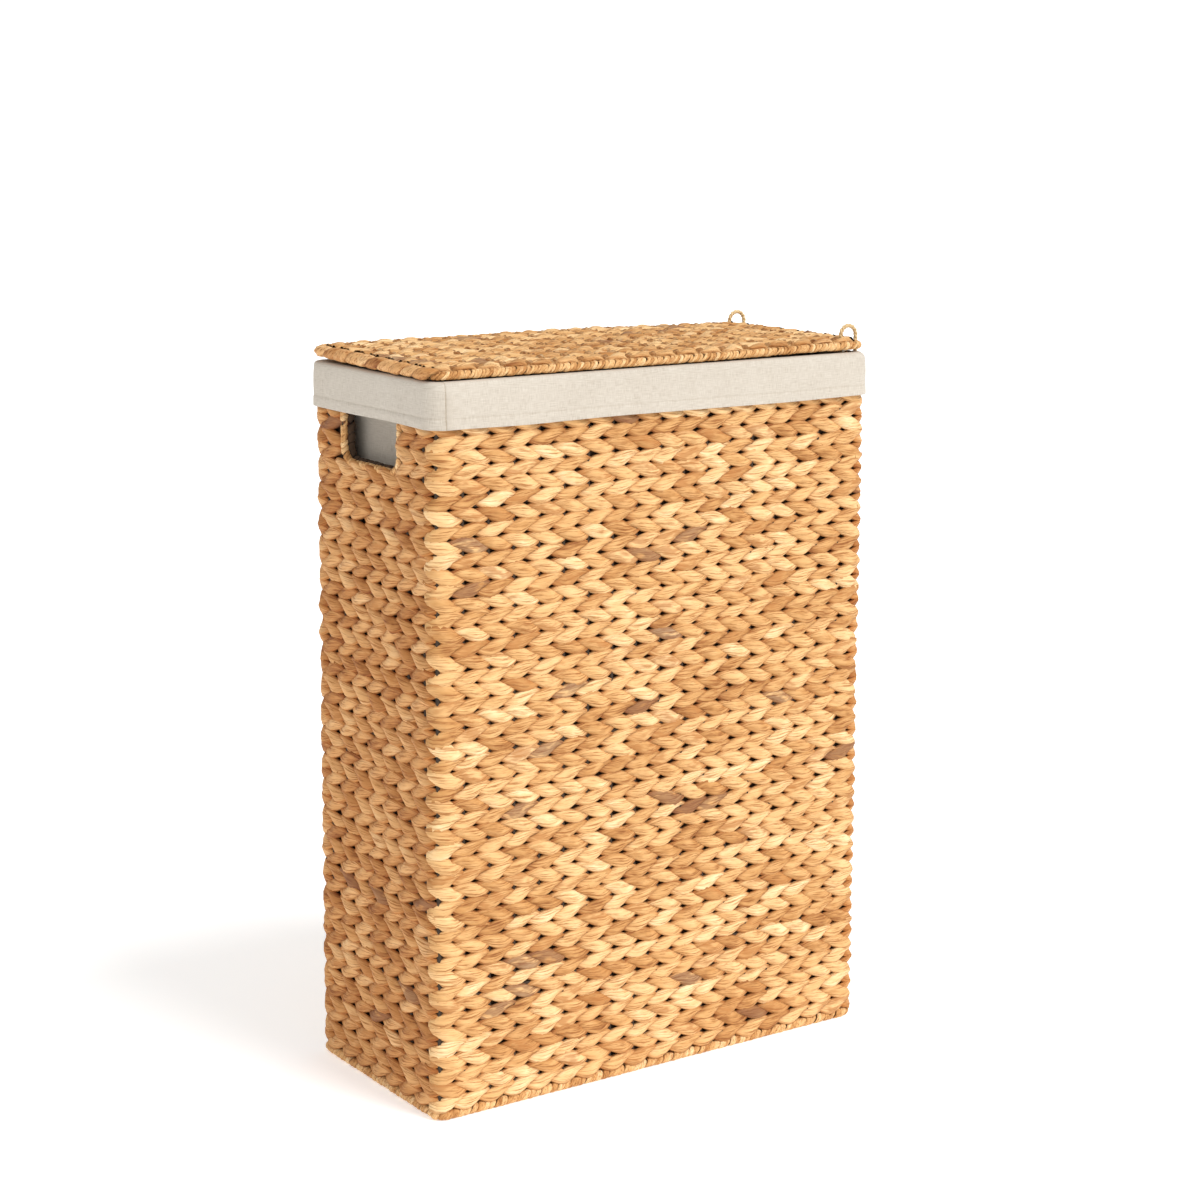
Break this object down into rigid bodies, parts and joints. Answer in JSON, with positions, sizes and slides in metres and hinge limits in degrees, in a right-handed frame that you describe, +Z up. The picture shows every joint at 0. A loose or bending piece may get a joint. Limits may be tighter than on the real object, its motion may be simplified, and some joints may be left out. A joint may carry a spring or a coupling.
{
  "type": "laundry basket woven",
  "caption": "Tall slim rectangular laundry basket: twined plant-fibre walls on a wire frame, woven lid on two cord rings, hand openings in the short sides, cotton liner folded over the rim.",
  "frame": {"origin": "centre of the underside, on the floor plane", "axes": "+X along the long side towards the lid hinge, +Y towards the back long side, +Z up"},
  "size_m": [0.4455, 0.203, 0.6192],
  "materials": {
    "wire": "dark powder coat",
    "stake": "dark powder coat",
    "weave": "dried plant fibre, satin",
    "wrap": "dried plant fibre, satin",
    "cotton": "plain cotton-linen cloth",
    "cord": "two-ply twisted fibre cord"
  },
  "bodies": {
    "basket": {"frame_base_ring": "wire", "frame_rim_ring": "wire", "frame_post_front_left": "wire", "frame_post_front_right": "wire", "frame_post_back_left": "wire", "frame_post_back_right": "wire", "handle_frame_left": "wire", "handle_frame_right": "wire", "stakes_front": "stake", "stakes_back": "stake", "stakes_left": "stake", "stakes_right": "stake", "base_rods": "stake", "weave_front": "weave", "weave_back": "weave", "weave_left": "weave", "weave_right": "weave", "weave_base": "weave", "base_binding_front": "wrap", "base_binding_back": "wrap", "base_binding_left": "wrap", "base_binding_right": "wrap", "rim_binding_front": "wrap", "rim_binding_back": "wrap", "rim_binding_left": "wrap", "rim_binding_right": "wrap", "handle_binding_left": "wrap", "handle_binding_right": "wrap", "liner_panel_front": "cotton", "liner_panel_back": "cotton", "liner_panel_left": "cotton", "liner_panel_right": "cotton", "liner_floor": "cotton", "liner_cuff_front": "cotton", "liner_cuff_back": "cotton", "liner_cuff_left": "cotton", "liner_cuff_right": "cotton"},
    "hinge_rings": {"hinge_ring_front": "cord", "hinge_ring_back": "cord"},
    "lid": {"lid_ring": "wire", "lid_rods": "stake", "lid_weave": "weave", "lid_binding_front": "wrap", "lid_binding_back": "wrap", "lid_binding_left": "wrap", "lid_binding_right": "wrap"}
  },
  "joints": [
    {"name": "ring_swing", "type": "hinge", "parent": "basket", "child": "hinge_rings", "pos_m": [0.214, 0, 0.592], "axis": [0, 1, 0], "range_deg": [0, 105]},
    {"name": "lid_hinge", "type": "hinge", "parent": "hinge_rings", "child": "lid", "pos_m": [0.214, 0, 0.606], "axis": [0, 1, 0], "range_deg": [0, 162]}
  ],
  "couplings": [
    {"joint": "ring_swing", "follows": "lid_hinge", "ratio": 0.6481}
  ]
}
